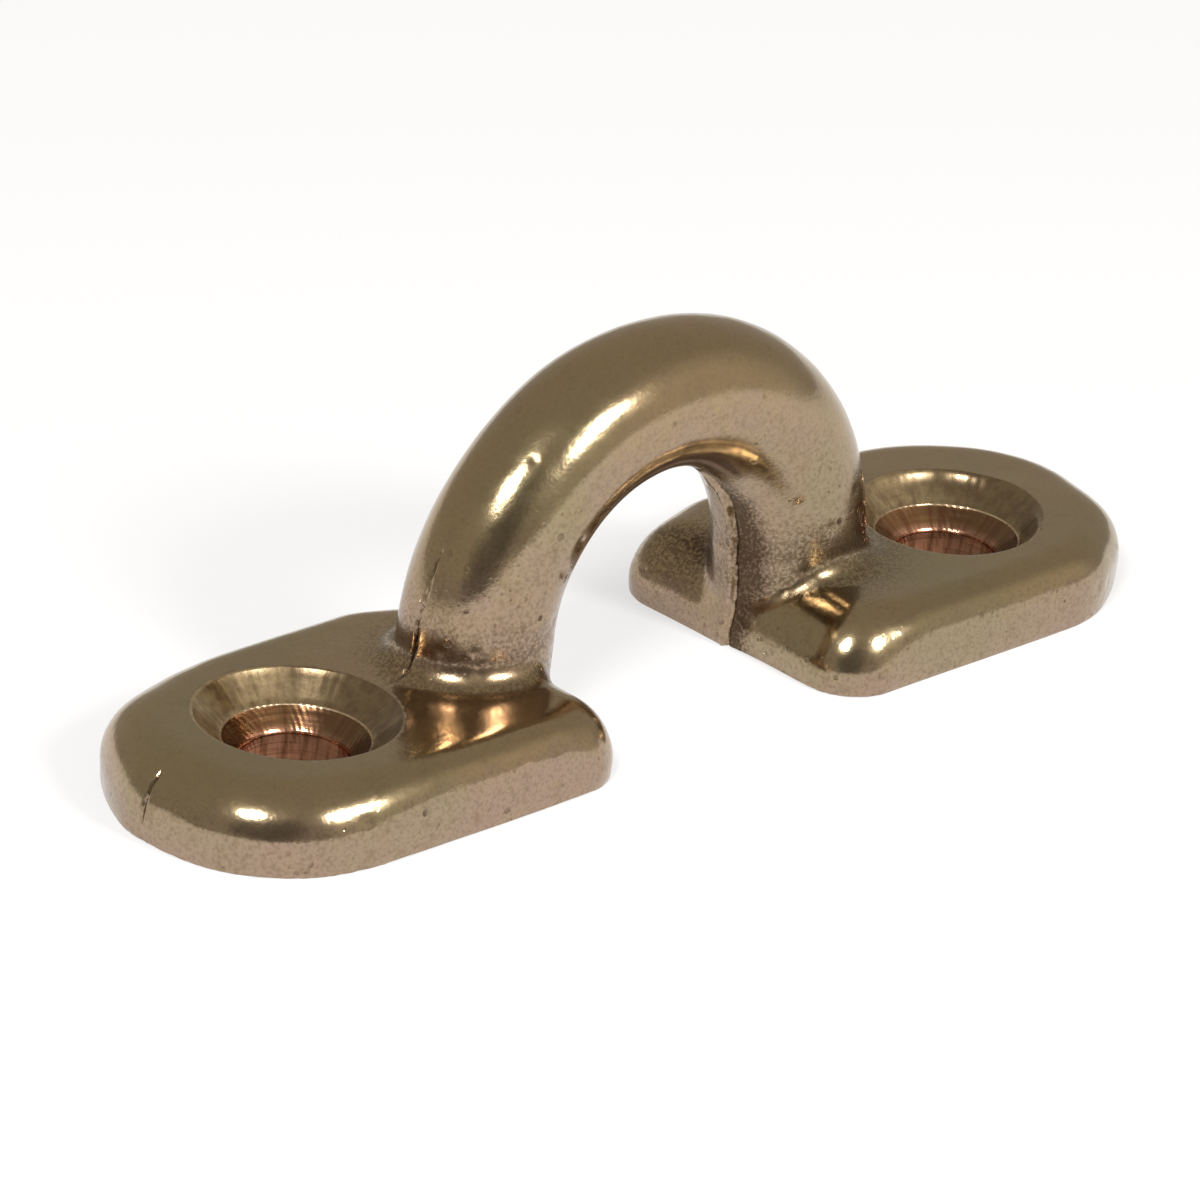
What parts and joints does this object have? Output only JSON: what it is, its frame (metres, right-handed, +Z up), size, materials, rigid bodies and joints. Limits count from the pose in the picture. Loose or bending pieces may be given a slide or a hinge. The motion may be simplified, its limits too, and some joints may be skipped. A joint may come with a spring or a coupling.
{
  "type": "pad eye",
  "caption": "Cast bronze pad eye: a round-bar bow standing on two separate rounded feet, each drilled and countersunk for a flat-head screw.",
  "frame": {"origin": "middle of the base, on the plane that the two feet are screwed down to", "axes": "+X along the feet from one screw hole to the other, +Y across the feet, +Z up through the crown of the bow"},
  "size_m": [0.0793, 0.0218, 0.024],
  "materials": {
    "bronze": "tumbled bronze, semi-bright"
  },
  "bodies": {
    "root": {"pad_eye_casting": "bronze"}
  },
  "joints": []
}
